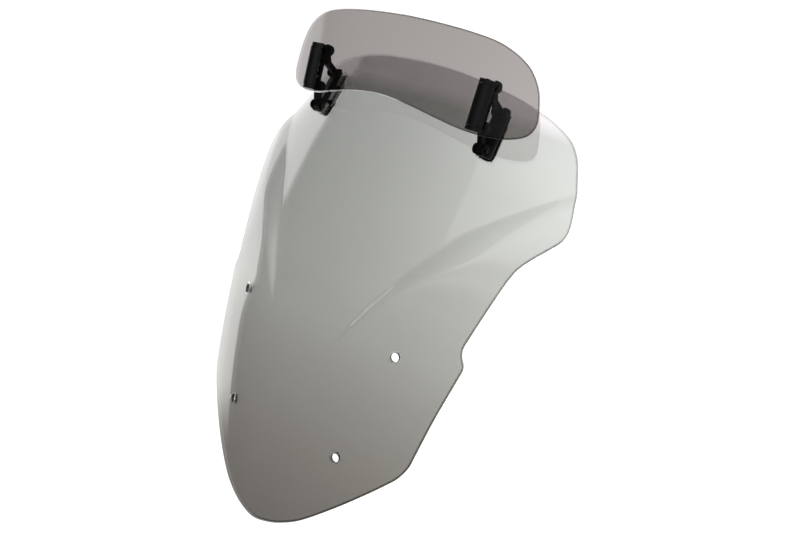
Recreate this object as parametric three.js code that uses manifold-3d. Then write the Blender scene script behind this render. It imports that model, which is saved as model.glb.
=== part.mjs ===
// Motorcycle touring windshield with an adjustable spoiler blade.
//
// Millimetres. X is lateral (+X is the rider's left), -Y faces the road ahead, and +Z runs up the
// screen's centre line. The origin is the centre of the four mounting holes.
//
// The spoiler is carried on each side by two links between a base clamped to the screen and a rail
// clamped to the spoiler, which makes a four-bar linkage.

import * as THREE from 'three';
import Module from 'manifold-3d';
import { mergeVertices } from 'three/addons/utils/BufferGeometryUtils.js';

const wasm = await Module();
wasm.setup();

// ---- Driving dimensions ----

const SCREEN_THICKNESS = 4;
const SPOILER_THICKNESS = 3;
const SCREEN_CELLS = 26;
const SPOILER_CELLS = [24, 6];

// Heights and half widths [x, z] of the screen's outline, from the bottom centre to the top centre.
const SCREEN_BOTTOM = [[0, -158.5], [25, -153.5], [43, -146], [61, -135.5], [97, -105], [135, -66.9], [149, -50.2]];
const SCREEN_SIDE = [
  [149, -50.2], [155.4, -37], [158, -25.8], [167, 18.1], [176.6, 61.7], [178.4, 71.3], [177.6, 76.2],
  [174.4, 83], [173.6, 90.2], [175.8, 100.6], [183.4, 133], [191.4, 165.9], [195.3, 177.4], [203.2, 191.2],
  [212.8, 205.9], [217.4, 214.2], [219.2, 223],
];
const SCREEN_TOP = [
  [0, 345.5], [57.4, 343.9], [103.6, 338.3], [135.3, 332], [160.8, 323.7], [181.1, 311.6], [193.3, 295.8],
  [202.2, 276.7], [210.7, 257.7], [217.2, 239.1], [219.2, 223],
];

// The raised lobe low on each side: its inner crease (valley) and its ridge, as [z, x].
const CREASE_VALLEY = [[21, 35], [90, 68], [148.5, 104], [194.5, 136], [267.5, 210], [300, 250]];
const CREASE_RIDGE = [[21, 35], [70, 68], [117.5, 103], [173.5, 159], [251.5, 214], [290, 240]];
const LOBE_HEIGHT = 9.5;
const LOBE_BOTTOM = 21;
const LOBE_TOP = 281;
const LOBE_FADE = 75;

// Spoiler outline [x, z]: bottom centre to lower corner, lower corner to upper corner, and the top edge.
const SPOILER_BOTTOM = [
  [0, 292.5], [40, 289.5], [75, 284.5], [105, 281], [135, 281.8], [155.9, 287.1], [168, 294.6], [173.5, 306],
];
const SPOILER_SIDE = [[173.5, 306], [172.3, 321.3], [167.6, 338.3], [157.5, 353.1]];
const SPOILER_TOP = [[0, 375.7], [52.7, 375], [94, 373.4], [119.5, 370.8], [135, 366.4], [147.5, 360.6], [157.5, 353.1]];

// Four holes that fasten the screen to the motorcycle, [x, z], and the flat seat around each.
const MOUNT_HOLES = [[114.7, 57.8], [82.6, -57.8]];
const MOUNT_HOLE_RADIUS = 4.5;
const SEAT_RADIUS = 10.5;
const SEAT_PROUD = 0.25;

// Linkage: distance of each bracket from the centre plane, and pivots as [y, z].
const BRACKET_X = 119;
const SCREEN_PIVOTS = { upper: [12.4, 312.5], lower: [5.2, 272.5] };
const RAIL_PIVOTS = { upper: [-10.4, 330.4], lower: [-4.6, 291.5] };
const UPPER_LINK_ELBOW = [-2.4, 318.4];
const LINK_ROUTES = {
  upper: [SCREEN_PIVOTS.upper, UPPER_LINK_ELBOW, RAIL_PIVOTS.upper],
  lower: [SCREEN_PIVOTS.lower, RAIL_PIVOTS.lower],
};
const LINK_WIDTH = 8.4;
const LINK_NECK_WIDTH = 6;
const LINK_NECK_RADIUS = 3.1;
const LINK_BOSS_RADIUS = 4.3;
const EAR_RADIUS = 5.4;
const EAR_THICKNESS = 2.3;
const PIN_RADIUS = 1.7;
const PIN_HOLE_RADIUS = 2;
const OPEN_PIVOT_RADIUS = 2.6;
const PIN_HEAD = { radius: 3, thickness: 1.4 };
const GAP = 0.35;
const ROTATING_GAP = 0.6;
const RAIL_ROTATING_GAP = 1.1;
const LANE_TURN = -0.2;

// Base clamped on the screen, measured from the screen's front surface.
const BASE = { width: 15.6, length: 50.6, centreZ: 290.6, thickness: 4.6, gasket: 1.1, gasketGap: 0.6 };
const CLAMP_PLATE = { thickness: 2.6, gasket: 0.9 };
const CLAMP_SCREW = { radius: 1.9, headRadius: 3.6, headThickness: 1.8, spacing: 18, hole: 2.3 };

// Rail clamped on the spoiler: rear rail with ears, half-round cover in front.
const RAIL = { width: 14, length: 48, centreZ: 309.2, thickness: 3 };
const COVER = { halfWidth: 8.5, height: 8, length: 40.6, gasket: 0.9 };
const END_CAP = { halfWidth: 9, height: 8.5, length: 4 };
const RAIL_SCREW = { radius: 1.4, headRadius: 2.6, headThickness: 1.5, spacing: 13, hole: 1.75, depth: 5 };

const ROUND_SEGMENTS = 12;

// ---- Materials ----

function material(color, roughness, metalness = 0) {
  return new THREE.MeshStandardMaterial({ color, roughness, metalness });
}

const TINTED_ACRYLIC = material(0x9a9a94, 0.08);
TINTED_ACRYLIC.transparent = true;
TINTED_ACRYLIC.opacity = 0.5;
const BLACK_PLASTIC = material(0x151516, 0.45);
const BLACK_RUBBER = material(0x0e0e0e, 0.85);
const BLACKENED_STEEL = material(0x1b1b1c, 0.4, 0.8);

// ---- Solids ----

function toSolid(geometry) {
  const plain = geometry.clone();
  plain.deleteAttribute('normal');
  plain.deleteAttribute('uv');
  const merged = mergeVertices(plain, 1e-4);
  const vertProperties = new Float32Array(merged.attributes.position.array);
  const triVerts = new Uint32Array(merged.index.array);
  return new wasm.Manifold(new wasm.Mesh({ numProp: 3, vertProperties, triVerts }));
}

function toGeometry(solid) {
  const mesh = solid.getMesh();
  const geometry = new THREE.BufferGeometry();
  geometry.setAttribute('position', new THREE.BufferAttribute(mesh.vertProperties, 3));
  geometry.setIndex(new THREE.BufferAttribute(mesh.triVerts, 1));
  geometry.computeVertexNormals();
  return geometry;
}

// Joins the first list of geometries and cuts the second list from the result.
function combine(joined, cuts = []) {
  let solid = toSolid(joined[0]);
  for (const geometry of joined.slice(1)) {
    solid = solid.add(toSolid(geometry));
  }
  for (const geometry of cuts) {
    solid = solid.subtract(toSolid(geometry));
  }
  return toGeometry(solid);
}

const group = new THREE.Group();

function addPart(name, geometry, partMaterial) {
  const mesh = new THREE.Mesh(geometry, partMaterial);
  mesh.name = name;
  group.add(mesh);
}

// ---- Curves and surfaces ----

function smoothCurve(points) {
  const places = points.map(([x, z]) => new THREE.Vector3(x, 0, z));
  return new THREE.CatmullRomCurve3(places, false, 'centripetal');
}

function mirroredCurve(points) {
  const left = points.slice(1).reverse().map(([x, z]) => [-x, z]);
  return smoothCurve([...left, ...points]);
}

function smoothstep(low, high, value) {
  const t = THREE.MathUtils.clamp((value - low) / (high - low), 0, 1);
  return t * t * (3 - 2 * t);
}

// Piecewise-linear lookup in [[key, value], ...], held level past both ends.
function lookup(table, key) {
  const last = table.length - 1;
  if (key <= table[0][0]) {
    return table[0][1];
  }
  for (let i = 0; i < last; i += 1) {
    const [[k0, v0], [k1, v1]] = [table[i], table[i + 1]];
    if (key <= k1) {
      return v0 + ((v1 - v0) * (key - k0)) / (k1 - k0);
    }
  }
  return table[last][1];
}

// Height of the lobe that stands forward of the screen outside the crease.
function lobeHeight(x, z) {
  if (z <= LOBE_BOTTOM || z >= LOBE_TOP) {
    return 0;
  }
  const t = (z - LOBE_BOTTOM) / (LOBE_TOP - LOBE_BOTTOM);
  const height = LOBE_HEIGHT * Math.sin(Math.PI * t) * smoothstep(0, 0.25, t);
  const valley = lookup(CREASE_VALLEY, z);
  const ridge = Math.max(lookup(CREASE_RIDGE, z), valley + 4);
  const across = (Math.abs(x) - valley) / (ridge - valley);
  if (across <= 0) {
    return 0;
  }
  if (across < 1) {
    return height * Math.sin((across * Math.PI) / 2);
  }
  return height * Math.exp(-(((Math.abs(x) - ridge) / LOBE_FADE) ** 1.5));
}

// The screen's front surface, y over (x, z).
function screenY(x, z) {
  const t = z / 100;
  const centre = -16.18 - 11.27 * t + 5 * t ** 2 + 0.7 * t ** 3 - 0.228 * t ** 4;
  const bend = (15.74 - 2.03 * t + 0.56 * t ** 2) * 1e-4;
  const shoulder = 9e-9 * smoothstep(236, 326, z);
  return centre + bend * x ** 2 + shoulder * x ** 4 - lobeHeight(x, z);
}

// The spoiler's front surface: it leans forward towards its top edge.
function spoilerY(x, z) {
  const fromTop = 375.7 - z;
  const bend = 11.6e-4 + 1.9e-6 * fromTop;
  return -44 + 0.1317 * fromTop + bend * x ** 2;
}

function surfacePoint(surface, x, z) {
  return new THREE.Vector3(x, surface(x, z), z);
}

// Unit normal that points forward, out of the front surface.
function surfaceNormal(surface, x, z) {
  const step = 0.5;
  const slopeX = (surface(x + step, z) - surface(x - step, z)) / (2 * step);
  const slopeZ = (surface(x, z + step) - surface(x, z - step)) / (2 * step);
  return new THREE.Vector3(slopeX, -1, slopeZ).normalize();
}

// Coons patch over a mirrored outline: s and t from 0 to 1 give [x, z].
function outlinePatch(bottomPoints, sidePoints, topPoints) {
  const bottom = mirroredCurve(bottomPoints);
  const top = mirroredCurve(topPoints);
  const side = smoothCurve(sidePoints);
  return (s, t) => {
    const low = bottom.getPointAt(s);
    const high = top.getPointAt(s);
    const edge = side.getPointAt(t);
    const lowX = bottom.getPointAt(1).x;
    const lowZ = bottom.getPointAt(1).z;
    const highX = top.getPointAt(1).x;
    const highZ = top.getPointAt(1).z;
    const across = 2 * s - 1;
    const x = (1 - t) * low.x + t * high.x + across * (edge.x - (1 - t) * lowX - t * highX);
    const z = (1 - t) * low.z + t * high.z + edge.z - (1 - t) * lowZ - t * highZ;
    return [x, z];
  };
}

// Closed sheet of constant thickness whose front follows the surface inside the outline.
function sheetGeometry(patch, surface, thickness, columns, rows) {
  const front = [];
  const back = [];
  for (let j = 0; j <= rows; j += 1) {
    for (let i = 0; i <= columns; i += 1) {
      const [x, z] = patch(i / columns, j / rows);
      const point = surfacePoint(surface, x, z);
      front.push(point);
      back.push(point.clone().addScaledVector(surfaceNormal(surface, x, z), -thickness));
    }
  }
  const at = (i, j) => j * (columns + 1) + i;
  const behind = front.length;
  const index = [];
  for (let j = 0; j < rows; j += 1) {
    for (let i = 0; i < columns; i += 1) {
      const [a, b, c, d] = [at(i, j), at(i + 1, j), at(i + 1, j + 1), at(i, j + 1)];
      index.push(a, b, c, a, c, d);
      index.push(behind + a, behind + c, behind + b, behind + a, behind + d, behind + c);
    }
  }
  const rim = [];
  for (let i = 0; i < columns; i += 1) rim.push(at(i, 0));
  for (let j = 0; j < rows; j += 1) rim.push(at(columns, j));
  for (let i = columns; i > 0; i -= 1) rim.push(at(i, rows));
  for (let j = rows; j > 0; j -= 1) rim.push(at(0, j));
  rim.forEach((a, k) => {
    const b = rim[(k + 1) % rim.length];
    index.push(a, behind + a, behind + b, a, behind + b, b);
  });
  const positions = [...front, ...back].flatMap((point) => point.toArray());
  const geometry = new THREE.BufferGeometry();
  geometry.setAttribute('position', new THREE.Float32BufferAttribute(positions, 3));
  geometry.setIndex(index);
  return geometry;
}

// Frame on a surface: x lateral, y into the sheet (backwards), z up along the surface.
function surfaceFrame(surface, x, z) {
  const inward = surfaceNormal(surface, x, z).negate();
  const up = new THREE.Vector3(0, 0, 1).addScaledVector(inward, -inward.z).normalize();
  const lateral = new THREE.Vector3().crossVectors(inward, up);
  const origin = surfacePoint(surface, x, z);
  return new THREE.Matrix4().makeBasis(lateral, inward, up).setPosition(origin);
}

// ---- Simple shapes ----

// Box given by its low and high corners, in an optional frame.
function box(low, high, frame = new THREE.Matrix4()) {
  const size = high.map((value, axis) => value - low[axis]);
  const geometry = new THREE.BoxGeometry(...size);
  geometry.translate(...low.map((value, axis) => value + size[axis] / 2));
  return geometry.applyMatrix4(frame);
}

// Turned piece about the frame's Y axis: profile points are [radius, y].
function turned(profile, frame = new THREE.Matrix4(), segments = ROUND_SEGMENTS) {
  const points = profile.map(([radius, y]) => new THREE.Vector2(radius, y));
  return new THREE.LatheGeometry(points, segments).applyMatrix4(frame);
}

function rod(radius, y0, y1, frame, segments = ROUND_SEGMENTS) {
  return turned([[0, y0], [radius, y0], [radius, y1], [0, y1]], frame, segments);
}

// Frame whose Y axis is the part's X axis, at a pivot [y, z] in the bracket at centreX.
function pivotFrame(centreX, [y, z]) {
  const basis = new THREE.Matrix4().makeBasis(
    new THREE.Vector3(0, 1, 0),
    new THREE.Vector3(1, 0, 0),
    new THREE.Vector3(0, 0, -1),
  );
  return basis.setPosition(centreX, y, z);
}

// Plate square to X between two pivots [y, z], with round ends.
function linkPlate(from, to, radius, x0, x1) {
  const angle = Math.atan2(to[1] - from[1], to[0] - from[0]);
  const shape = new THREE.Shape();
  shape.absarc(to[0], to[1], radius, angle - Math.PI / 2, angle + Math.PI / 2);
  shape.absarc(from[0], from[1], radius, angle + Math.PI / 2, angle + (3 * Math.PI) / 2);
  const geometry = new THREE.ExtrudeGeometry(shape, { depth: x1 - x0, bevelEnabled: false, curveSegments: 6 });
  const basis = new THREE.Matrix4().makeBasis(
    new THREE.Vector3(0, 1, 0),
    new THREE.Vector3(0, 0, 1),
    new THREE.Vector3(1, 0, 0),
  );
  return geometry.applyMatrix4(basis).translate(x0, 0, 0);
}

// Bar along the frame's Z axis whose section has rounded front corners (towards -Y).
function bar(halfWidth, y0, y1, length, frame) {
  const corner = Math.min(2.5, (y1 - y0) / 2);
  const shape = new THREE.Shape();
  shape.moveTo(-halfWidth, y1);
  shape.lineTo(-halfWidth, y0 + corner);
  shape.absarc(-halfWidth + corner, y0 + corner, corner, Math.PI, 1.5 * Math.PI);
  shape.absarc(halfWidth - corner, y0 + corner, corner, 1.5 * Math.PI, 2 * Math.PI);
  shape.lineTo(halfWidth, y1);
  const geometry = new THREE.ExtrudeGeometry(shape, { depth: length, bevelEnabled: false, curveSegments: 3 });
  return geometry.translate(0, 0, -length / 2).applyMatrix4(frame);
}

// Half-round bar along the frame's Z axis, flat side at y0 and bulging towards -Y.
function halfRound(halfWidth, height, y0, length, frame) {
  const shape = new THREE.Shape();
  shape.absellipse(0, y0, halfWidth, height, Math.PI, 2 * Math.PI);
  const geometry = new THREE.ExtrudeGeometry(shape, { depth: length, bevelEnabled: false, curveSegments: 9 });
  return geometry.translate(0, 0, -length / 2).applyMatrix4(frame);
}

function alongZ(frame, offset) {
  return frame.clone().multiply(new THREE.Matrix4().makeTranslation(0, 0, offset));
}

// ---- Screen and spoiler ----

function clampScrewFrames(side) {
  const frame = surfaceFrame(screenY, side * BRACKET_X, BASE.centreZ);
  return [-0.5, 0.5].map((step) => alongZ(frame, step * CLAMP_SCREW.spacing));
}

function railScrewFrames(side) {
  const frame = surfaceFrame(spoilerY, side * BRACKET_X, RAIL.centreZ);
  return [-0.5, 0.5].map((step) => alongZ(frame, step * RAIL_SCREW.spacing));
}

const SIDES = [['left', 1], ['right', -1]];

function makeScreen() {
  const patch = outlinePatch(SCREEN_BOTTOM, SCREEN_SIDE, SCREEN_TOP);
  const sheet = sheetGeometry(patch, screenY, SCREEN_THICKNESS, SCREEN_CELLS, SCREEN_CELLS);
  const seats = [];
  const holes = [];
  for (const [, side] of SIDES) {
    for (const [x, z] of MOUNT_HOLES) {
      const frame = surfaceFrame(screenY, side * x, z);
      seats.push(rod(SEAT_RADIUS, -SEAT_PROUD, SCREEN_THICKNESS + SEAT_PROUD, frame, 18));
      holes.push(rod(MOUNT_HOLE_RADIUS, -5, SCREEN_THICKNESS + 5, frame, 16));
    }
    for (const frame of clampScrewFrames(side)) {
      holes.push(rod(CLAMP_SCREW.hole, -5, SCREEN_THICKNESS + 5, frame));
    }
  }
  addPart('main_screen', combine([sheet, ...seats], holes), TINTED_ACRYLIC);
}

function makeSpoiler() {
  const patch = outlinePatch(SPOILER_BOTTOM, SPOILER_SIDE, SPOILER_TOP);
  const sheet = sheetGeometry(patch, spoilerY, SPOILER_THICKNESS, ...SPOILER_CELLS);
  const holes = [];
  for (const [, side] of SIDES) {
    for (const frame of railScrewFrames(side)) {
      holes.push(rod(RAIL_SCREW.hole, -5, SPOILER_THICKNESS + 5, frame));
    }
  }
  addPart('spoiler_blade', combine([sheet], holes), TINTED_ACRYLIC);
}

// ---- Brackets ----

// Two ears either side of a link, from a pivot down to the foot [y, z].
function earPair(centreX, pivot, foot) {
  const inner = LINK_WIDTH / 2 + GAP;
  const outer = inner + EAR_THICKNESS;
  return [
    linkPlate(foot, pivot, EAR_RADIUS, centreX - outer, centreX - inner),
    linkPlate(foot, pivot, EAR_RADIUS, centreX + inner, centreX + outer),
  ];
}

// Space that a link's boss needs around its pivot, the pin's hole, and room for the pin's two heads.
function pivotCuts(centreX, pivot, clearance = ROTATING_GAP) {
  const frame = pivotFrame(centreX, pivot);
  const half = LINK_WIDTH / 2 + GAP;
  const outside = half + EAR_THICKNESS;
  return [
    rod(LINK_BOSS_RADIUS + clearance, -half, half, frame),
    rod(PIN_HOLE_RADIUS, -20, 20, frame),
    rod(PIN_HEAD.radius + GAP, outside, 20, frame),
    rod(PIN_HEAD.radius + GAP, -20, -outside, frame),
  ];
}

// Lane that a link's neck needs beside its pivot, at rest and turned back to its stop (radians).
function neckLane(centreX, [y, z], [towardsY, towardsZ], clearance = ROTATING_GAP) {
  const half = LINK_NECK_WIDTH / 2 + GAP;
  const radius = LINK_NECK_RADIUS + clearance;
  return [0, LANE_TURN].map((turn) => {
    const arm = new THREE.Vector2(towardsY - y, towardsZ - z).rotateAround(new THREE.Vector2(), turn);
    return linkPlate([y, z], [y + arm.x, z + arm.y], radius, centreX - half, centreX + half);
  });
}

// Foot of a pair of ears: the pivot dropped straight onto the sheet at the bracket.
function footBelow(surface, [, z], depth) {
  return [surface(BRACKET_X, z) + depth, z];
}

function makeBase(name, side) {
  const centreX = side * BRACKET_X;
  const frame = surfaceFrame(screenY, centreX, BASE.centreZ);
  const back = -(2 * BASE.gasketGap + BASE.gasket);
  const gasketBack = -BASE.gasketGap;
  const pivots = Object.values(SCREEN_PIVOTS);
  const ears = pivots.flatMap((pivot) => earPair(centreX, pivot, footBelow(screenY, pivot, -4)));
  const body = bar(BASE.width / 2, back - BASE.thickness, back, BASE.length, frame);
  const behind = box([-30, back, -60], [30, 40, 60], frame);
  const cuts = [behind, ...pivots.flatMap((pivot) => pivotCuts(centreX, pivot))];
  for (const route of Object.values(LINK_ROUTES)) {
    cuts.push(...neckLane(centreX, route[0], route[1]));
  }
  for (const screwFrame of clampScrewFrames(side)) {
    cuts.push(rod(CLAMP_SCREW.radius + GAP, back - 3.6, 5, screwFrame));
  }
  addPart(`bracket_base_${name}`, combine([body, ...ears], cuts), BLACK_PLASTIC);

  const holes = clampScrewFrames(side).map((screwFrame) => rod(CLAMP_SCREW.hole, -10, 20, screwFrame));
  const gasket = box(
    [-BASE.width / 2 + 0.8, gasketBack - BASE.gasket, -BASE.length / 2 + 0.8],
    [BASE.width / 2 - 0.8, gasketBack, BASE.length / 2 - 0.8],
    frame,
  );
  const pockets = pivots.flatMap((pivot) => pivotCuts(centreX, pivot));
  addPart(`base_gasket_${name}`, combine([gasket], [...holes, ...pockets]), BLACK_RUBBER);
}

// The plate behind the screen that the two clamp screws pull against the base.
function makeClampPlate(name, side) {
  const frame = surfaceFrame(screenY, side * BRACKET_X, BASE.centreZ);
  const gasketFront = SCREEN_THICKNESS + BASE.gasketGap;
  const front = gasketFront + CLAMP_PLATE.gasket + GAP;
  const back = front + CLAMP_PLATE.thickness;
  const gasket = box(
    [-BASE.width / 2 + 0.8, gasketFront, -BASE.length / 2 + 0.8],
    [BASE.width / 2 - 0.8, gasketFront + CLAMP_PLATE.gasket, BASE.length / 2 - 0.8],
    frame,
  );
  const turnedOver = frame.clone().multiply(new THREE.Matrix4().makeRotationZ(Math.PI));
  const body = bar(BASE.width / 2, -back, -front, BASE.length, turnedOver);
  const holes = [];
  clampScrewFrames(side).forEach((screwFrame, i) => {
    holes.push(rod(CLAMP_SCREW.hole, -10, 30, screwFrame));
    const tip = -(2 * BASE.gasketGap + BASE.gasket) - 3;
    const head = back + GAP;
    const screw = turned(
      [[0, tip], [CLAMP_SCREW.radius, tip], [CLAMP_SCREW.radius, head], [CLAMP_SCREW.headRadius, head],
        [CLAMP_SCREW.headRadius, head + CLAMP_SCREW.headThickness], [1.6, head + CLAMP_SCREW.headThickness],
        [1.6, head + 0.9], [0, head + 0.9]],
      screwFrame,
    );
    addPart(`clamp_screw_${name}_${i + 1}`, combine([screw]), BLACKENED_STEEL);
  });
  addPart(`clamp_gasket_${name}`, combine([gasket], holes), BLACK_RUBBER);
  addPart(`clamp_plate_${name}`, combine([body], holes), BLACK_PLASTIC);
}

function makeRail(name, side) {
  const centreX = side * BRACKET_X;
  const frame = surfaceFrame(spoilerY, centreX, RAIL.centreZ);
  const front = SPOILER_THICKNESS + 0.4;
  const pivots = Object.values(RAIL_PIVOTS);
  const ears = pivots.flatMap((pivot) => earPair(centreX, pivot, footBelow(spoilerY, pivot, 6)));
  const plate = box([-RAIL.width / 2, front, -RAIL.length / 2], [RAIL.width / 2, front + RAIL.thickness, RAIL.length / 2], frame);
  const ahead = box([-30, -40, -60], [30, front, 60], frame);
  const cuts = [ahead, ...pivots.flatMap((pivot) => pivotCuts(centreX, pivot, RAIL_ROTATING_GAP))];
  for (const route of Object.values(LINK_ROUTES)) {
    cuts.push(...neckLane(centreX, route[route.length - 1], route[route.length - 2], RAIL_ROTATING_GAP));
  }
  const gasketFront = -(GAP + COVER.gasket);
  const coverBack = gasketFront - GAP;
  const coverCuts = [];
  railScrewFrames(side).forEach((screwFrame, i) => {
    cuts.push(rod(RAIL_SCREW.hole, -10, 20, screwFrame));
    coverCuts.push(rod(RAIL_SCREW.radius + GAP, coverBack - RAIL_SCREW.depth, 5, screwFrame));
    const head = front + RAIL.thickness + GAP;
    const tip = coverBack - RAIL_SCREW.depth + GAP;
    const screw = turned(
      [[0, tip], [RAIL_SCREW.radius, tip], [RAIL_SCREW.radius, head], [RAIL_SCREW.headRadius, head],
        [RAIL_SCREW.headRadius, head + RAIL_SCREW.headThickness], [1.1, head + RAIL_SCREW.headThickness],
        [1.1, head + 0.7], [0, head + 0.7]],
      screwFrame,
    );
    addPart(`rail_screw_${name}_${i + 1}`, combine([screw]), BLACKENED_STEEL);
  });
  addPart(`spoiler_rail_${name}`, combine([plate, ...ears], cuts), BLACK_PLASTIC);

  const cover = halfRound(COVER.halfWidth, COVER.height, coverBack, COVER.length, frame);
  addPart(`rail_cover_${name}`, combine([cover], coverCuts), BLACK_PLASTIC);
  const gasket = box([-7.6, gasketFront, -COVER.length / 2], [7.6, -GAP, COVER.length / 2], frame);
  const gasketHoles = railScrewFrames(side).map((screwFrame) => rod(RAIL_SCREW.hole, -10, 20, screwFrame));
  addPart(`cover_gasket_${name}`, combine([gasket], gasketHoles), BLACK_RUBBER);
  for (const [end, direction] of [['upper', 1], ['lower', -1]]) {
    const offset = direction * (COVER.length / 2 + GAP + END_CAP.length / 2);
    const cap = halfRound(END_CAP.halfWidth, END_CAP.height, -GAP, END_CAP.length, alongZ(frame, offset));
    addPart(`rail_cap_${end}_${name}`, combine([cap]), BLACK_PLASTIC);
  }
}

// A link: a boss at each pivot and a slimmer neck that follows the given route between them.
function makeLink(name, side, route, railHoleRadius) {
  const centreX = side * BRACKET_X;
  const [screenPivot, railPivot] = [route[0], route[route.length - 1]];
  const bosses = [screenPivot, railPivot].map((pivot) => (
    rod(LINK_BOSS_RADIUS, -LINK_WIDTH / 2, LINK_WIDTH / 2, pivotFrame(centreX, pivot))
  ));
  const necks = [];
  for (let i = 0; i < route.length - 1; i += 1) {
    const half = LINK_NECK_WIDTH / 2;
    necks.push(linkPlate(route[i], route[i + 1], LINK_NECK_RADIUS, centreX - half, centreX + half));
  }
  const cuts = [
    rod(PIN_HOLE_RADIUS, -20, 20, pivotFrame(centreX, screenPivot)),
    rod(railHoleRadius, -20, 20, pivotFrame(centreX, railPivot)),
  ];
  addPart(name, combine([...bosses, ...necks], cuts), BLACK_PLASTIC);
}

function makeLinks(name, side) {
  makeLink(`upper_link_${name}`, side, LINK_ROUTES.upper, PIN_HOLE_RADIUS);
  makeLink(`lower_link_${name}`, side, LINK_ROUTES.lower, OPEN_PIVOT_RADIUS);
}

// Riveted pins through each pair of ears.
function makePins(name, side) {
  const reach = LINK_WIDTH / 2 + 2 * GAP + EAR_THICKNESS;
  const outer = reach + PIN_HEAD.thickness;
  const profile = [
    [0, -outer], [PIN_HEAD.radius, -outer], [PIN_HEAD.radius, -reach], [PIN_RADIUS, -reach],
    [PIN_RADIUS, reach], [PIN_HEAD.radius, reach], [PIN_HEAD.radius, outer], [0, outer],
  ];
  for (const [where, pivots] of [['base', SCREEN_PIVOTS], ['rail', RAIL_PIVOTS]]) {
    for (const [level, pivot] of Object.entries(pivots)) {
      const pin = turned(profile, pivotFrame(side * BRACKET_X, pivot));
      addPart(`${where}_pin_${level}_${name}`, combine([pin]), BLACKENED_STEEL);
    }
  }
}

makeScreen();
makeSpoiler();
for (const [name, side] of SIDES) {
  makeBase(name, side);
  makeClampPlate(name, side);
  makeRail(name, side);
  makeLinks(name, side);
  makePins(name, side);
}

export default group;
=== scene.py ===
import math

import bmesh
import bpy
import numpy as np
from mathutils import Matrix, Vector


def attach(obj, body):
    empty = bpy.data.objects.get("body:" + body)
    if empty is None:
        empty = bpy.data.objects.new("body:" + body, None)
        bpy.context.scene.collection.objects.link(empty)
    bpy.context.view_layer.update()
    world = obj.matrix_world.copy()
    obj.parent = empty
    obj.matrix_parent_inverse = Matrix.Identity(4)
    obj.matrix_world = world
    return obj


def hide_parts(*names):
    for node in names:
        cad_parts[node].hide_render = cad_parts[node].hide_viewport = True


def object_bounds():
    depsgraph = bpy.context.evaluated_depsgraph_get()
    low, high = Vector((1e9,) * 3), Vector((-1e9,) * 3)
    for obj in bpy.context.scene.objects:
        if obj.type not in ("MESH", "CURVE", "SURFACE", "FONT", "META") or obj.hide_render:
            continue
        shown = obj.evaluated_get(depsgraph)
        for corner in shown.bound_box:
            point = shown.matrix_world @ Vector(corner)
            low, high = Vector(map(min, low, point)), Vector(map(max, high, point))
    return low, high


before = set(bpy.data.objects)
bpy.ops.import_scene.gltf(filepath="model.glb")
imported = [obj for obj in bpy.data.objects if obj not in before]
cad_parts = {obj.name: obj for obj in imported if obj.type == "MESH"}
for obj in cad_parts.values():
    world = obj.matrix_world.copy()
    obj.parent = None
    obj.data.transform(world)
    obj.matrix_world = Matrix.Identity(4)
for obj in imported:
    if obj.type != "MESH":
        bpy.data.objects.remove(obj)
cad_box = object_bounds()
scene = bpy.context.scene
MM = 0.001

# ---- Camera ----

camera_data = bpy.data.cameras.new("camera")
camera_data.sensor_width = 36
camera_data.lens = 48.6
camera_data.clip_start, camera_data.clip_end = 0.05, 60
camera = bpy.data.objects.new("camera", camera_data)
scene.collection.objects.link(camera)
right = Vector((0.70298, 0.62032, 0.34789)).normalized()
back = Vector((0.65529, -0.75505, 0.02218)).normalized()
up = back.cross(right).normalized()
right = up.cross(back).normalized()
turn = Matrix((right, up, back)).transposed().to_4x4()
camera.matrix_world = Matrix.Translation(Vector((0.7693, -0.7954, 0.1640))) @ turn
scene.camera = camera
scene.view_settings.view_transform = "Standard"

# ---- The object's surfaces, in millimetres; the creases' ridges are sharper than in the CAD ----

BRACKET_X = 119
BASE_Z = 290.6
RAIL_Z = 309.2
CLAMP_SCREW_SPACING = 18
RAIL_SCREW_SPACING = 13
LOBE_START = 21
LOBE_LENGTH = 260
LOBE_DEPTH = 9.5
LOBE_FADE = 75

SCREEN_BOTTOM = [
    (0, -158.5), (25, -153.5), (43, -146), (61, -135.5), (97, -105), (135, -66.9), (149, -50.2),
]
SCREEN_SIDE = [
    (149, -50.2), (155.4, -37), (158, -25.8), (167, 18.1), (176.6, 61.7), (178.4, 71.3), (177.6, 76.2),
    (174.4, 83), (173.6, 90.2), (175.8, 100.6), (183.4, 133), (191.4, 165.9), (195.3, 177.4), (203.2, 191.2),
    (212.8, 205.9), (217.4, 214.2), (219.2, 223),
]
SCREEN_TOP = [
    (0, 345.5), (57.4, 343.9), (103.6, 338.3), (135.3, 332), (160.8, 323.7), (181.1, 311.6), (193.3, 295.8),
    (202.2, 276.7), (210.7, 257.7), (217.2, 239.1), (219.2, 223),
]
CREASE_VALLEY = [(21, 35), (90, 68), (148.5, 104), (194.5, 136), (267.5, 210), (300, 250)]
CREASE_RIDGE = [(21, 35), (70, 68), (117.5, 103), (173.5, 159), (251.5, 214), (290, 240)]
SPOILER_BOTTOM = [
    (0, 292.5), (40, 289.5), (75, 284.5), (105, 281), (135, 281.8), (155.9, 287.1), (168, 294.6),
    (173.5, 306),
]
SPOILER_SIDE = [(173.5, 306), (172.3, 321.3), (167.6, 338.3), (157.5, 353.1)]
SPOILER_TOP = [
    (0, 375.7), (52.7, 375), (94, 373.4), (119.5, 370.8), (135, 366.4), (147.5, 360.6), (157.5, 353.1),
]


def smoothstep(low, high, value):
    t = np.clip((value - low) / (high - low), 0, 1)
    return t * t * (3 - 2 * t)


def smooth_table(table, key):
    """Smooth lookup in a short table: the mean of the linear one over a small window."""
    keys, values = zip(*table)
    total = 0
    for offset, weight in ((-9, 1), (-5, 2), (0, 3), (5, 2), (9, 1)):
        total = total + weight * np.interp(key + offset, keys, values)
    return total / 9


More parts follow.
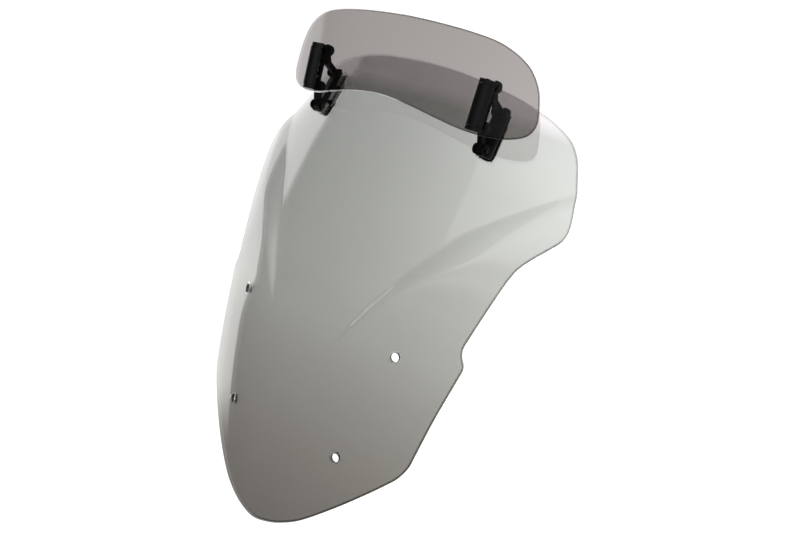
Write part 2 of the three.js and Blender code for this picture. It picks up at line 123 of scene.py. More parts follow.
def lobe_height(x, z):
    """How far the sides stand forward of the middle: most at each ridge, fading further out."""
    t = np.clip((z - LOBE_START) / LOBE_LENGTH, 0, 1)
    height = LOBE_DEPTH * np.sin(math.pi * t) * smoothstep(0, 0.25, t)
    valley = smooth_table(CREASE_VALLEY, z)
    ridge = np.maximum(smooth_table(CREASE_RIDGE, z), valley + 4)
    across = (np.abs(x) - valley) / (ridge - valley)
    rise = np.clip(across, 0, 1)
    inside = 0.45 * rise + 0.55 * np.sin(rise * math.pi / 2)
    beyond = np.exp(-((np.maximum(np.abs(x) - ridge, 0) / LOBE_FADE) ** 1.5))
    return height * np.where(across < 1, inside, beyond)


def screen_y(x, z):
    t = z / 100
    centre = -16.18 - 11.27 * t + 5 * t**2 + 0.7 * t**3 - 0.228 * t**4
    bend = (15.74 - 2.03 * t + 0.56 * t**2) * 1e-4
    shoulder = 9e-9 * smoothstep(236, 326, z)
    return centre + bend * x**2 + shoulder * x**4 - lobe_height(x, z)


def spoiler_y(x, z):
    from_top = SPOILER_TOP[0][1] - z
    return -44 + 0.1317 * from_top + (11.6e-4 + 1.9e-6 * from_top) * x**2


def normals(surface, x, z):
    """Unit normals that point forward, out of the front surface."""
    slope_x = (surface(x + 0.5, z) - surface(x - 0.5, z))
    slope_z = (surface(x, z + 0.5) - surface(x, z - 0.5))
    n = np.stack([slope_x, -np.ones_like(slope_x), slope_z], -1)
    return n / np.linalg.norm(n, axis=-1, keepdims=True)


def spline(points, count):
    """Centripetal Catmull-Rom spline through the points, sampled evenly along its length."""
    p = np.array(points, float)
    p = np.vstack([2 * p[0] - p[1], p, 2 * p[-1] - p[-2]])
    dense = []
    for a, b, c, d in zip(p, p[1:], p[2:], p[3:]):
        t1 = np.linalg.norm(b - a) ** 0.5
        t2 = t1 + np.linalg.norm(c - b) ** 0.5
        t3 = t2 + np.linalg.norm(d - c) ** 0.5
        for t in np.linspace(t1, t2, 40, endpoint=False):
            ab = (t1 - t) / t1 * a + t / t1 * b
            bc = (t2 - t) / (t2 - t1) * b + (t - t1) / (t2 - t1) * c
            cd = (t3 - t) / (t3 - t2) * c + (t - t2) / (t3 - t2) * d
            abc = (t2 - t) / t2 * ab + t / t2 * bc
            bcd = (t3 - t) / (t3 - t1) * bc + (t - t1) / (t3 - t1) * cd
            dense.append((t2 - t) / (t2 - t1) * abc + (t - t1) / (t2 - t1) * bcd)
    dense.append(p[-2])
    return resample(np.array(dense), count)


def resample(line, count):
    """Evenly spaced points along a polyline."""
    along = np.concatenate([[0], np.cumsum(np.linalg.norm(np.diff(line, axis=0), axis=1))])
    wanted = np.linspace(0, along[-1], count)
    return np.stack([np.interp(wanted, along, line[:, k]) for k in (0, 1)], -1)


def half_outline(bottom, side, top, counts):
    """The right half of an outline as three evenly sampled runs that join smoothly at the corners."""
    joined = bottom[:-1] + side[:-1] + top[::-1]
    mirror = [(-x, z) for x, z in (bottom[1], top[1])]
    whole = spline([mirror[0], *joined, mirror[1]], 6000)
    ends = (bottom[0], bottom[-1], top[-1], top[0])
    corners = [np.argmin(np.linalg.norm(whole - np.array(p), axis=1)) for p in ends]
    runs = []
    for first, last, count in zip(corners, corners[1:], counts):
        runs.append(resample(whole[first:last + 1], count))
    return runs


def inset(run, distance):
    """Moves a run of outline points inwards (to the left of its direction)."""
    tangent = np.gradient(run, axis=0)
    tangent /= np.linalg.norm(tangent, axis=1, keepdims=True)
    return run + distance * np.stack([-tangent[:, 1], tangent[:, 0]], -1)


# ---- Mesh helpers ----


def make_object(name, vertices, faces, material, body):
    mesh = bpy.data.meshes.new(name)
    mesh.from_pydata([tuple(v) for v in vertices], [], faces)
    mesh.validate()
    mesh.polygons.foreach_set("use_smooth", [True] * len(mesh.polygons))
    obj = bpy.data.objects.new(name, mesh)
    scene.collection.objects.link(obj)
    mesh.materials.append(material)
    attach(obj, body)
    return obj


# ---- Materials ----

# About three times real acrylic, with the light in front cut to match, for less noise.
MIRROR_HEAD_ON = 0.117
# Edge levels that give the rim and the hole lips a painted highlight.
RIM_EDGE = 0.06
LIP_EDGE = 0.3
# How dark the painted shade on hole walls gets.
HOLE_WALL_SHADE = 0.06
BLADE_MIRROR_SHARE = 0.15


class Nodes:
    """Short hand for building the nodes of a new material, or of the world when one is given."""

    def __init__(self, name, world=None):
        self.material = None if world else bpy.data.materials.new(name)
        owner = world or self.material
        owner.use_nodes = True
        self.tree = owner.node_tree
        self.tree.nodes.clear()
        self.output = self.add("ShaderNodeOutputWorld" if world else "ShaderNodeOutputMaterial")

    def add(self, kind, **settings):
        node = self.tree.nodes.new(kind)
        for key, value in settings.items():
            if isinstance(value, str):
                setattr(node, key, value)
            else:
                node.inputs[key].default_value = value
        return node

    def link(self, source, target):
        self.tree.links.new(source, target)

    def noise(self, scale, detail):
        node = self.add("ShaderNodeTexNoise")
        node.inputs["Scale"].default_value = scale
        node.inputs["Detail"].default_value = detail
        node.inputs["Roughness"].default_value = 0.55
        self.link(self.coordinates(), node.inputs["Vector"])
        return node.outputs["Fac"]

    def coordinates(self):
        if not hasattr(self, "coords"):
            self.coords = self.add("ShaderNodeTexCoord")
        return self.coords.outputs["Object"]

    def map_range(self, value, low, high, from_low=0.3, from_high=0.7):
        node = self.add("ShaderNodeMapRange")
        ends = {"From Min": from_low, "From Max": from_high, "To Min": low, "To Max": high}
        for key, number in ends.items():
            node.inputs[key].default_value = number
        self.link(value, node.inputs["Value"])
        return node.outputs["Result"]

    def mix_colour(self, factor, first, second):
        node = self.add("ShaderNodeMix")
        node.data_type = "RGBA"
        sockets = [s for s in node.inputs if s.name in ("A", "B") and s.type == "RGBA"]
        sockets[0].default_value = (*first, 1)
        sockets[1].default_value = (*second, 1)
        self.link(factor, node.inputs[0])
        return [s for s in node.outputs if s.type == "RGBA"][0]

    def bump(self, height, strength, distance):
        node = self.add("ShaderNodeBump")
        node.inputs["Strength"].default_value = strength
        node.inputs["Distance"].default_value = distance
        self.link(height, node.inputs["Height"])
        return node.outputs["Normal"]

    def math(self, operation, first, second=None):
        node = self.add("ShaderNodeMath", operation=operation)
        for socket, value in zip(node.inputs, (first, second)):
            if isinstance(value, (int, float)):
                socket.default_value = value
            elif value is not None:
                self.link(value, socket)
        return node.outputs[0]

    def blend(self, factor, first, second):
        """The first level where factor is 0, the second where it is 1."""
        change = self.math("MULTIPLY", factor, self.math("SUBTRACT", second, first))
        return self.math("ADD", change, first)

    def smooth(self, value, low, high):
        node = self.add("ShaderNodeMapRange")
        node.interpolation_type = "SMOOTHSTEP"
        node.inputs["From Min"].default_value = low
        node.inputs["From Max"].default_value = high
        self.link(value, node.inputs["Value"])
        return node.outputs["Result"]


def tinted_acrylic(name, tones, wall_shade, mirror_share=1.0):
    """Clear tinted sheet: each of its two faces passes its share of the tint and mirrors by its tilt.

    tones is [(height in metres, colour), ...] from the bottom up. The attribute that marks edges is 0 on the
    faces,
    RIM_EDGE on the outer rim, which passes a little more light as a painted highlight, LIP_EDGE on the lips
    of holes, which get some of both, and 1 on hole walls, which are painted dark as shade down to about the
    given wall level. mirror_share scales the head-on reflection.
    """
    n = Nodes(name)
    clear = n.add("ShaderNodeBsdfTransparent")
    split = n.add("ShaderNodeSeparateXYZ")
    n.link(n.coordinates(), split.inputs[0])
    low, high = tones[0][0], tones[-1][0]
    share = n.map_range(split.outputs["Z"], 0.0, 1.0, low, high)
    ramp = n.add("ShaderNodeValToRGB")
    elements = ramp.color_ramp.elements
    while len(elements) < len(tones):
        elements.new(0.5)
    for element, (height, colour) in zip(elements, tones):
        element.position = (height - low) / (high - low)
        element.color = (*colour, 1)
    n.link(share, ramp.inputs["Fac"])
    painted_edge_light = n.add("ShaderNodeAttribute")
    painted_edge_light.attribute_name = "painted_edge_light"
    wash = n.map_range(n.noise(6, 3), 0.988, 1.0)
    # Painted light: rims and lips pass more light as a painted highlight, and hole walls are painted dark as
    # shade.
    painted_rim_highlight = n.map_range(painted_edge_light.outputs["Fac"], 1.0, 1.3, 0.0, RIM_EDGE)
    painted_wall_shade = n.map_range(painted_edge_light.outputs["Fac"], 1.0, wall_shade, 0.1, 1.0)
    strength = n.math("MULTIPLY", wash, n.math("MULTIPLY", painted_rim_highlight, painted_wall_shade))
    scaled = n.add("ShaderNodeVectorMath", operation="SCALE")
    n.link(ramp.outputs["Color"], scaled.inputs[0])
    n.link(strength, scaled.inputs["Scale"])
    n.link(scaled.outputs[0], clear.inputs["Color"])
    gloss = n.add("ShaderNodeBsdfGlossy")
    gloss.inputs["Color"].default_value = (1, 1, 1, 1)
    n.link(n.map_range(n.noise(60, 5), 0.004, 0.012), gloss.inputs["Roughness"])
    ripple = n.bump(n.noise(9, 2), 0.03, 0.002)
    n.link(ripple, gloss.inputs["Normal"])
    facing = n.add("ShaderNodeLayerWeight")
    facing.inputs["Blend"].default_value = 0.5
    n.link(ripple, facing.inputs["Normal"])
    grazing = n.math("POWER", facing.outputs["Facing"], 5.0)
    mirror = n.map_range(grazing, MIRROR_HEAD_ON * mirror_share, 1.0, 0.0, 1.0)
    plain = n.map_range(painted_edge_light.outputs["Fac"], 1.0, 0.4, 0.1, 0.5)
    mix = n.add("ShaderNodeMixShader")
    n.link(n.math("MULTIPLY", mirror, plain), mix.inputs[0])
    n.link(clear.outputs[0], mix.inputs[1])
    n.link(gloss.outputs[0], mix.inputs[2])
    n.link(mix.outputs[0], n.output.inputs["Surface"])
    return n.material


def moulded_plastic(name, colour, worn, roughness, gloss, grain=900):
    """Black moulded plastic with a fine grain, and slightly uneven colour and polish."""
    n = Nodes(name)
    shader = n.add("ShaderNodeBsdfPrincipled")
    shader.inputs["IOR"].default_value = 1.5
    shader.inputs["Specular IOR Level"].default_value = gloss
    n.link(n.mix_colour(n.map_range(n.noise(55, 5), 0, 1), colour, worn), shader.inputs["Base Color"])
    n.link(n.map_range(n.noise(130, 4), roughness - 0.06, roughness + 0.08), shader.inputs["Roughness"])
    n.link(n.bump(n.noise(grain * 2, 3), 0.22, 0.0002), shader.inputs["Normal"])
    n.link(shader.outputs[0], n.output.inputs["Surface"])
    return n.material


def rubber(name):
    n = Nodes(name)
    shader = n.add("ShaderNodeBsdfPrincipled")
    shader.inputs["Specular IOR Level"].default_value = 0.3
    blotches = n.map_range(n.noise(90, 4), 0, 1)
    colour = n.mix_colour(blotches, (0.010, 0.010, 0.010), (0.022, 0.021, 0.020))
    n.link(colour, shader.inputs["Base Color"])
    n.link(n.map_range(n.noise(160, 4), 0.72, 0.92), shader.inputs["Roughness"])
    n.link(n.bump(n.noise(2600, 2), 0.3, 0.0002), shader.inputs["Normal"])
    n.link(shader.outputs[0], n.output.inputs["Surface"])
    return n.material


def blackened_steel(name):
    n = Nodes(name)
    shader = n.add("ShaderNodeBsdfPrincipled")
    shader.inputs["Metallic"].default_value = 0.9
    blotches = n.map_range(n.noise(240, 5), 0, 1)
    colour = n.mix_colour(blotches, (0.012, 0.012, 0.013), (0.022, 0.021, 0.020))
    n.link(colour, shader.inputs["Base Color"])
    n.link(n.map_range(n.noise(420, 4), 0.26, 0.42), shader.inputs["Roughness"])
    n.link(n.bump(n.noise(1800, 3), 0.12, 0.0001), shader.inputs["Normal"])
    n.link(shader.outputs[0], n.output.inputs["Surface"])
    return n.material


# Tint by height, from the bottom up: the screen darkens towards the bottom as painted shade, and is clearer
# from about 0.31 m up.
SCREEN_TINT_AND_PAINTED_SHADE = [
    (-0.150, (0.386, 0.370, 0.354)), (-0.075, (0.437, 0.422, 0.400)), (0.020, (0.514, 0.509, 0.490)),
    (0.065, (0.566, 0.565, 0.544)), (0.110, (0.588, 0.591, 0.571)), (0.200, (0.596, 0.603, 0.585)),
    (0.304, (0.609, 0.616, 0.601)), (0.320, (0.772, 0.756, 0.767)), (0.376, (0.800, 0.778, 0.789)),
]
SPOILER_TONES = [(0.280, (0.567, 0.550, 0.546)), (0.376, (0.569, 0.552, 0.541))]
SCREEN_ACRYLIC = tinted_acrylic("screen_acrylic", SCREEN_TINT_AND_PAINTED_SHADE, HOLE_WALL_SHADE)
SPOILER_ACRYLIC = tinted_acrylic("spoiler_acrylic", SPOILER_TONES, HOLE_WALL_SHADE, BLADE_MIRROR_SHARE)
PLASTIC = moulded_plastic("bracket_plastic", (0.0022, 0.0022, 0.0024), (0.0040, 0.0040, 0.0042), 0.46, 0.13)
COVER_PLASTIC = moulded_plastic(
    "cover_plastic", (0.0025, 0.0025, 0.0027), (0.0042, 0.0042, 0.0044), 0.34, 0.22, 700)
RUBBER = rubber("gasket_rubber")
STEEL = blackened_steel("blackened_steel")

# ---- Screen and spoiler sheets ----

HOLE_LIP = 0.45
HOLE_MARGIN = 2.8
FIXING_HOLES = [(114.7, 57.8, 4.5), (82.6, -57.8, 4.5)]


def coons(bottom, side, top):
    """Points over a mirrored outline: rows from the bottom run to the top run."""
    s = np.linspace(0, 1, len(bottom))[None, :, None]
    t = np.linspace(0, 1, len(side))[:, None, None]
    across = 2 * s - 1
    low_corner, high_corner = bottom[-1], top[-1]
    middle_x = (1 - t) * bottom[None, :, 0:1] + t * top[None, :, 0:1]
    middle_z = (1 - t) * bottom[None, :, 1:2] + t * top[None, :, 1:2]
    x = middle_x + across * (side[:, None, 0:1] - (1 - t) * low_corner[0] - t * high_corner[0])
    z = middle_z + side[:, None, 1:2] - (1 - t) * low_corner[1] - t * high_corner[1]
    return x[..., 0], z[..., 0]


def both_sides(half):
    """A run from the centre line outwards, mirrored to run from one side to the other."""
    other = half[:0:-1] * np.array([-1, 1])
    return np.vstack([other, half])


def sheet(name, outline, surface, thickness, counts, holes, material, body, node):
    """Curved sheet with a rounded rim and round-lipped holes; holes are (x, z, radius)."""
    radius = thickness / 2
    runs = half_outline(*outline, counts)
    bottom, side, top = [inset(run, radius) for run in runs]
    bottom[0, 0] = 0
    top[-1, 0] = 0
    side[0] = bottom[-1] = (side[0] + bottom[-1]) / 2
    side[-1] = top[0] = (side[-1] + top[0]) / 2
    x, z = coons(both_sides(bottom), side, both_sides(top[::-1]))
    rows, columns = x.shape
    normal = normals(surface, x, z)
    front = np.stack([x, surface(x, z), z], -1)
    count = rows * columns
    vertices = [*front.reshape(-1, 3), *(front - thickness * normal).reshape(-1, 3)]
    painted_edge_light = [0.0] * (2 * count)

    index = np.arange(count).reshape(rows, columns)
    removed = np.zeros((rows, columns), bool)
    faces = []
    for hole in holes:
        hole_x, hole_z, hole_radius = hole
        distance = np.hypot(*tangent_offsets(surface, hole_x, hole_z, front))
        keep_out = distance < hole_radius + HOLE_MARGIN
        inside = keep_out[:-1, :-1] & keep_out[1:, :-1] & keep_out[:-1, 1:] & keep_out[1:, 1:]
        removed[:-1, :-1] |= inside
        faces += ring_faces(vertices, painted_edge_light, surface, hole, thickness, inside, index, count)
    for j in range(rows - 1):
        for i in range(columns - 1):
            if removed[j, i]:
                continue
            a, b, c, d = index[j, i], index[j, i + 1], index[j + 1, i + 1], index[j + 1, i]
            faces.append((a, b, c, d))
            faces.append((d + count, c + count, b + count, a + count))

    rim = [*index[0, :-1], *index[:-1, -1], *index[-1, :0:-1], *index[:0:-1, 0]]
    p = front.reshape(-1, 3)[rim]
    n = normal.reshape(-1, 3)[rim]
    tangent = np.roll(p, -1, axis=0) - np.roll(p, 1, axis=0)
    outward = np.cross(n, tangent)
    outward /= np.linalg.norm(outward, axis=1, keepdims=True)
    rings = [[int(k) for k in rim]]
    for step in range(1, 8):
        angle = math.pi * step / 8
        ring = p - radius * n + radius * (math.cos(angle) * n + math.sin(angle) * outward)
        rings.append(list(range(len(vertices), len(vertices) + len(ring))))
        vertices.extend(ring)
        # Marks the rounded rim for its painted highlight.
        painted_edge_light.extend([RIM_EDGE] * len(ring))
    rings.append([int(k) + count for k in rim])
    for first, second in zip(rings, rings[1:]):
        for k in range(len(rim)):
            m = (k + 1) % len(rim)
            faces.append((first[k], second[k], second[m], first[m]))

    faces = [tuple(int(k) for k in face) for face in faces]
    obj = make_object(name, np.array(vertices) * MM, faces, material, body)
    attribute = obj.data.attributes.new("painted_edge_light", "FLOAT", "POINT")
    attribute.data.foreach_set("value", np.array(painted_edge_light, np.float32))
    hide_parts(node)


def hole_frame(surface, hole_x, hole_z):
    """Centre, forward normal, sideways and upward directions of the surface at a hole."""
    x, z = np.array(float(hole_x)), np.array(float(hole_z))
    centre = np.array([hole_x, float(surface(x, z)), hole_z])
    n = normals(surface, x, z)
    upward = np.array([0, 0, 1.0]) - n[2] * n
    upward /= np.linalg.norm(upward)
    return centre, n, np.cross(upward, n), upward


def tangent_offsets(surface, hole_x, hole_z, points):
    centre, _, sideways, upward = hole_frame(surface, hole_x, hole_z)
    away = points - centre
    return away @ sideways, away @ upward


def ring_faces(vertices, painted_edge_light, surface, hole, thickness, inside, index, count):
    """Faces from the grid's gap round a hole to its rounded lips and through its wall."""
    hole_x, hole_z, radius = hole
    centre, n, sideways, upward = hole_frame(surface, hole_x, hole_z)
    borders = {}
    for j, i in zip(*np.nonzero(inside)):
        corners = [index[j, i], index[j, i + 1], index[j + 1, i + 1], index[j + 1, i]]
        neighbours = [inside[j - 1, i], inside[j, i + 1], inside[j + 1, i], inside[j, i - 1]]
        for k in range(4):
            if not neighbours[k]:
                borders[int(corners[k])] = int(corners[(k + 1) % 4])
    start = min(borders)
    loop = [start]
    while borders[loop[-1]] != start:
        loop.append(borders[loop[-1]])
    angles = []
    for k in loop:
        spoke = vertices[k] - centre
        angles.append(math.atan2(spoke @ upward, spoke @ sideways))
    angles = np.unwrap(np.array(angles))
    full_turn = 2 * math.pi * np.sign(angles[-1] - angles[0])
    evened = np.linspace(angles[0], angles[0] + full_turn, len(loop), endpoint=False)
    angles = 0.35 * angles + 0.65 * evened
    outward = np.cos(angles)[:, None] * sideways + np.sin(angles)[:, None] * upward
    lip = HOLE_LIP
    profile = [(radius + lip + 0.9, 0), (radius + lip, 0), (radius + 0.3 * lip, -0.3 * lip), (radius, -lip)]
    profile += [(r, -thickness - depth) for r, depth in reversed(profile)]
    rings = [loop]
    for r, depth in profile:
        ring = centre + r * outward + depth * n
        if depth in (0, -thickness):
            flat = surface(ring[:, 0], ring[:, 2])
            ring[:, 1] = flat if depth == 0 else flat + (ring[:, 1] - (centre + r * outward)[:, 1])
        rings.append(list(range(len(vertices), len(vertices) + len(ring))))
        vertices.extend(ring)
        # Lips and hole walls are marked for painted light: a painted highlight on lips, painted shade on
        # walls.
        if depth in (0, -thickness) and r > radius + lip:
            shade = 0.0
        elif r == radius:
            shade = 1.0
        else:
            shade = LIP_EDGE
        painted_edge_light.extend([shade] * len(ring))
    rings.append([k + count for k in loop])
    faces = []
    for first, second in zip(rings, rings[1:]):
        for k in range(len(loop)):
            m = (k + 1) % len(loop)
            faces.append((first[m], first[k], second[k], second[m]))
    return faces


def sheet_holes(surface, fixings, screws_at, spacing, screw_radius):
    """Both sides' fixing holes and the two screw holes at each bracket."""
    holes = []
    for sign in (1, -1):
        holes += [(sign * x, z, r) for x, z, r in fixings]
        centre, _, _, upward = hole_frame(surface, sign * BRACKET_X, screws_at)
        for step in (-0.5, 0.5):
            at = centre + step * spacing * upward
            holes.append((at[0], at[2], screw_radius))
    return holes


screen_holes = sheet_holes(screen_y, FIXING_HOLES, BASE_Z, CLAMP_SCREW_SPACING, 2.3)
sheet("screen_shell", (SCREEN_BOTTOM, SCREEN_SIDE, SCREEN_TOP), screen_y, 4, (120, 170, 120),
      screen_holes, SCREEN_ACRYLIC, "screen", "main_screen")
spoiler_holes = sheet_holes(spoiler_y, [], RAIL_Z, RAIL_SCREW_SPACING, 1.75)
sheet("spoiler_shell", (SPOILER_BOTTOM, SPOILER_SIDE, SPOILER_TOP), spoiler_y, 3, (110, 50, 110),
      spoiler_holes, SPOILER_ACRYLIC, "spoiler", "spoiler_blade")

# ---- Clamp plates behind the screen: rounded ends, filleted edge, two holes ----

CLAMP_HALF_WIDTH = 7.6
CLAMP_HALF_LENGTH = 21.4
CLAMP_CORNER = 6.4
SCREW_HOLE = 2.25
CIRCLE_POINTS = 28


def rounded_outline(half_width, half_length, corner, count=10):
    """Closed outline (across, along) of a rectangle with round corners, anticlockwise."""
    points = []
    for quarter, (across, along) in enumerate(((1, 1), (-1, 1), (-1, -1), (1, -1))):
        for step in range(count):
            angle = (quarter + step / (count - 1)) * math.pi / 2
            points.append((across * (half_width - corner) + corner * math.cos(angle),
                           along * (half_length - corner) + corner * math.sin(angle)))
    return points


def clamp_plate(name, sign, node):
    """Plate on the back of the screen; depth is measured behind the screen's front face."""
    centre, n, sideways, upward = hole_frame(screen_y, sign * BRACKET_X, BASE_Z)
    near, far, fillet, shift = 5.88, 8.42, 0.7, -3.4
    rings = []
    for grow, depth in ((-0.3, near), (0, near + 0.3), (0, far - fillet), (-0.2, far - 0.3), (-fillet, far)):
        outline = rounded_outline(CLAMP_HALF_WIDTH + grow, CLAMP_HALF_LENGTH + grow, CLAMP_CORNER + grow)
        rings.append([(across, along + shift, depth) for across, along in outline])
    mesh = bmesh.new()

    def place(point):
        return mesh.verts.new((centre + point[0] * sideways + point[1] * upward - point[2] * n) * MM)

    outer = [[place(point) for point in ring] for ring in rings]
    loops = {"near": [outer[0]], "far": [outer[-1]]}
    for first, second in zip(outer, outer[1:]):
        for k in range(len(first)):
            m = (k + 1) % len(first)
            mesh.faces.new((first[k], first[m], second[m], second[k]))
    for step in (-CLAMP_SCREW_SPACING / 2, CLAMP_SCREW_SPACING / 2):
        turns = np.linspace(0, 2 * math.pi, CIRCLE_POINTS, endpoint=False)
        circle = [(SCREW_HOLE * math.cos(a), step + SCREW_HOLE * math.sin(a)) for a in turns]
        wall = [[place((*point, depth)) for point in circle] for depth in (near, far)]
        loops["near"].append(wall[0])
        loops["far"].append(wall[1])
        for k in range(CIRCLE_POINTS):
            m = (k + 1) % CIRCLE_POINTS
            mesh.faces.new((wall[1][k], wall[1][m], wall[0][m], wall[0][k]))
    for rim in loops.values():
        pairs = [(loop[k], loop[(k + 1) % len(loop)]) for loop in rim for k in range(len(loop))]
        edges = [mesh.edges.get(pair) for pair in pairs]
        bmesh.ops.triangle_fill(mesh, edges=edges, use_beauty=True)
    bmesh.ops.recalc_face_normals(mesh, faces=mesh.faces)
    data = bpy.data.meshes.new(name)
    mesh.to_mesh(data)
    mesh.free()
    data.materials.append(PLASTIC)
    plate = bpy.data.objects.new(name, data)
    scene.collection.objects.link(plate)
    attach(plate, "screen")
    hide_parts(node)
    for polygon in data.polygons:
        polygon.use_smooth = len(polygon.vertices) == 4


for side, sign in (("left", 1), ("right", -1)):
    clamp_plate("clamp_shell_" + side, sign, "clamp_plate_" + side)

# ---- Bracket pieces that keep their CAD mesh: bevelled edges and their own materials ----

EDGE_ROUNDING = 0.00035
SHARP_EDGE = math.radians(38)
NODE_MATERIALS = {"gasket": RUBBER, "screw": STEEL, "pin": STEEL, "rail_c": COVER_PLASTIC}
for name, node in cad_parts.items():
    if node.hide_render:
        continue
    material = next((m for key, m in NODE_MATERIALS.items() if key in name), PLASTIC)
    for slot in node.material_slots:
        slot.material = material
    bevel = node.modifiers.new("soft_edges", "BEVEL")
    bevel.width = EDGE_ROUNDING
    bevel.segments = 2
    bevel.limit_method = "ANGLE"
    bevel.angle_limit = SHARP_EDGE
    bevel.harden_normals = False

# ---- Studio ----

# Light levels, degrees, and metres for the floor; azimuth 0 is in front and 90 towards +X.
KEY_AZIMUTH = 35
KEY_ELEVATION = 40
KEY_TIGHTNESS = 6.5
KEY_LEVEL = 1.63
FRONT_DARK = 0.027
SOFT_BOX_LEVEL = 0.3
REAR_LEVEL = 1.12
BACKDROP_BASE = 1.03
BACKDROP_SWELL = 1.5
BACKDROP_TIGHTNESS = 30
BACKDROP_AZIMUTH = -165
NEAR_FLOOR = 0.17
SIDE_POOL = 1.3
FLOOR_GREY = 0.06
FLOOR_LIT = 0.06
FLOOR_RADII = (0.0, 0.4, 1.2, 4.0, 12.0, 40.0)
FLOOR_SPOKES = 64


def stage_mesh(name, vertices, faces, material):
    mesh = bpy.data.meshes.new(name)
    mesh.from_pydata(vertices, [], faces)
    mesh.polygons.foreach_set("use_smooth", [True] * len(mesh.polygons))
    mesh.materials.append(material)
    obj = bpy.data.objects.new(name, mesh)
    scene.collection.objects.link(obj)


def direction(azimuth, elevation):
    """Unit vector; azimuth 0 is in front of the object and 90 towards +X."""
    a, e = math.radians(azimuth), math.radians(elevation)
    return Vector((math.sin(a) * math.cos(e), -math.cos(a) * math.cos(e), math.sin(e)))


def azimuth_step(n, azimuth, zero_at, one_at):
    """0 at one azimuth and 1 at the other, both in degrees, with a soft change between."""
    return n.smooth(azimuth, math.radians(zero_at), math.radians(one_at))


def front_and_rear(n, azimuth, toward_key, height=None):
    """Studio level by direction: a broad key in front, an even bright wall behind.

    height is given for the world alone; it adds the soft box and moves where the wall starts.
    """
    near = n.math("MULTIPLY", n.math("ADD", toward_key, 1.0), 0.5)
    key = n.math("MULTIPLY", n.math("POWER", near, KEY_TIGHTNESS), KEY_LEVEL)
    front = n.math("ADD", key, FRONT_DARK)
    wall_starts = (-89, -87)
    if height is not None:
        box = n.math("MULTIPLY", azimuth_step(n, azimuth, -4, -2), n.smooth(height, 0.02, 0.2))
        front = n.math("ADD", front, n.math("MULTIPLY", box, SOFT_BOX_LEVEL))
        wall_starts = (-83, -79)
    in_front = n.math(
        "MULTIPLY", azimuth_step(n, azimuth, *wall_starts), azimuth_step(n, azimuth, 120, 90))
    return n.blend(in_front, REAR_LEVEL, front)


def backdrop(n, toward):
    """Level of the white backdrop seen in the direction of a unit vector."""
    dot = n.add("ShaderNodeVectorMath", operation="DOT_PRODUCT")
    n.link(toward, dot.inputs[0])
    dot.inputs[1].default_value = direction(BACKDROP_AZIMUTH, 0)
    near = n.math("MULTIPLY", n.math("ADD", dot.outputs["Value"], 1.0), 0.5)
    swell = n.math("MULTIPLY", n.math("POWER", near, BACKDROP_TIGHTNESS), BACKDROP_SWELL)
    return n.math("ADD", swell, BACKDROP_BASE)


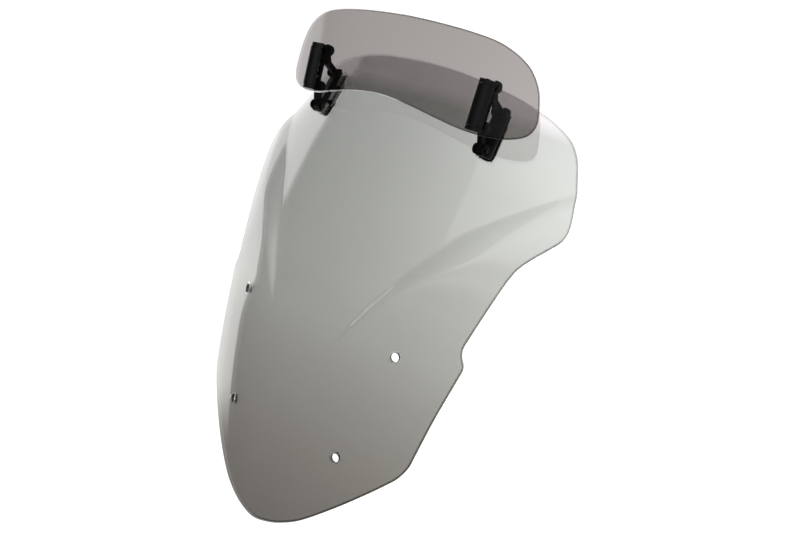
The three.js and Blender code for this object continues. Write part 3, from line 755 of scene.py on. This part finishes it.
def floor_material():
    """Floor that glows: the sheets mirror it as part of the studio, and the view sees backdrop in it."""
    n = Nodes("floor")
    seen = n.add("ShaderNodeLightPath").outputs["Is Camera Ray"]
    shader = n.add("ShaderNodeBsdfDiffuse")
    n.link(n.mix_colour(seen, (0, 0, 0), (FLOOR_GREY,) * 3), shader.inputs["Color"])
    place = n.add("ShaderNodeSeparateXYZ")
    n.link(n.coordinates(), place.inputs[0])
    x, y = place.outputs["X"], place.outputs["Y"]
    away = n.math("SQRT", n.math("ADD", n.math("MULTIPLY", x, x), n.math("MULTIPLY", y, y)))
    azimuth = n.math("ARCTAN2", x, n.math("MULTIPLY", y, -1.0))

    # Far away the floor carries on from the light just above it, so no horizon shows in a reflection.
    from_key = n.math("SUBTRACT", azimuth, math.radians(KEY_AZIMUTH))
    toward_key = n.math("MULTIPLY", n.math("COSINE", from_key), math.cos(math.radians(KEY_ELEVATION)))
    far_level = front_and_rear(n, azimuth, toward_key)
    pool = n.math("MULTIPLY", azimuth_step(n, azimuth, -87, -89), azimuth_step(n, azimuth, -175, -120))
    pool = n.math("MULTIPLY", pool, n.smooth(away, 0.15, 0.5))
    near_level = n.math("ADD", n.math("MULTIPLY", pool, SIDE_POOL), NEAR_FLOOR)
    mirrored = n.blend(n.smooth(away, 0.4, 3.6), near_level, far_level)

    # What a view sees of the floor matches the backdrop beyond it, but only from the camera set above.
    from_camera = n.add("ShaderNodeVectorMath", operation="SUBTRACT")
    n.link(n.coordinates(), from_camera.inputs[0])
    from_camera.inputs[1].default_value = tuple(camera.location)
    unit = n.add("ShaderNodeVectorMath", operation="NORMALIZE")
    n.link(from_camera.outputs[0], unit.inputs[0])
    behind = n.math("SUBTRACT", backdrop(n, unit.outputs[0]), FLOOR_LIT)
    glow = n.add("ShaderNodeEmission")
    n.link(n.blend(seen, mirrored, behind), glow.inputs["Strength"])
    both = n.add("ShaderNodeAddShader")
    n.link(shader.outputs[0], both.inputs[0])
    n.link(glow.outputs[0], both.inputs[1])
    n.link(both.outputs[0], n.output.inputs["Surface"])
    return n.material


def add_floor():
    """A wide disc of rings just below the object."""
    low = cad_box[0].z - 0.0005
    turns = np.linspace(0, 2 * math.pi, FLOOR_SPOKES, endpoint=False)
    vertices = [(r * math.cos(a), r * math.sin(a), low) for r in FLOOR_RADII for a in turns]
    faces = []
    for inner in range(0, len(vertices) - FLOOR_SPOKES, FLOOR_SPOKES):
        outer = inner + FLOOR_SPOKES
        for k in range(FLOOR_SPOKES):
            m = (k + 1) % FLOOR_SPOKES
            faces.append((inner + k, inner + m, outer + m, outer + k))
    stage_mesh("floor", vertices, faces, floor_material())


def add_world():
    """The studio that lights the object, and the white backdrop that the view sees instead of it."""
    world = bpy.data.worlds.new("studio")
    scene.world = world
    n = Nodes("studio", world)
    toward = n.add("ShaderNodeTexCoord").outputs["Generated"]
    axes = n.add("ShaderNodeSeparateXYZ")
    n.link(toward, axes.inputs[0])
    dot = n.add("ShaderNodeVectorMath", operation="DOT_PRODUCT")
    n.link(toward, dot.inputs[0])
    dot.inputs[1].default_value = direction(KEY_AZIMUTH, KEY_ELEVATION)
    azimuth = n.math("ARCTAN2", axes.outputs["X"], n.math("MULTIPLY", axes.outputs["Y"], -1.0))
    studio = front_and_rear(n, azimuth, dot.outputs["Value"], axes.outputs["Z"])
    seen = n.add("ShaderNodeLightPath").outputs["Is Camera Ray"]
    glow = n.add("ShaderNodeBackground")
    glow.inputs["Color"].default_value = (1, 1, 1, 1)
    n.link(n.blend(seen, studio, backdrop(n, toward)), glow.inputs["Strength"])
    n.link(glow.outputs[0], n.output.inputs["Surface"])


add_floor()
add_world()
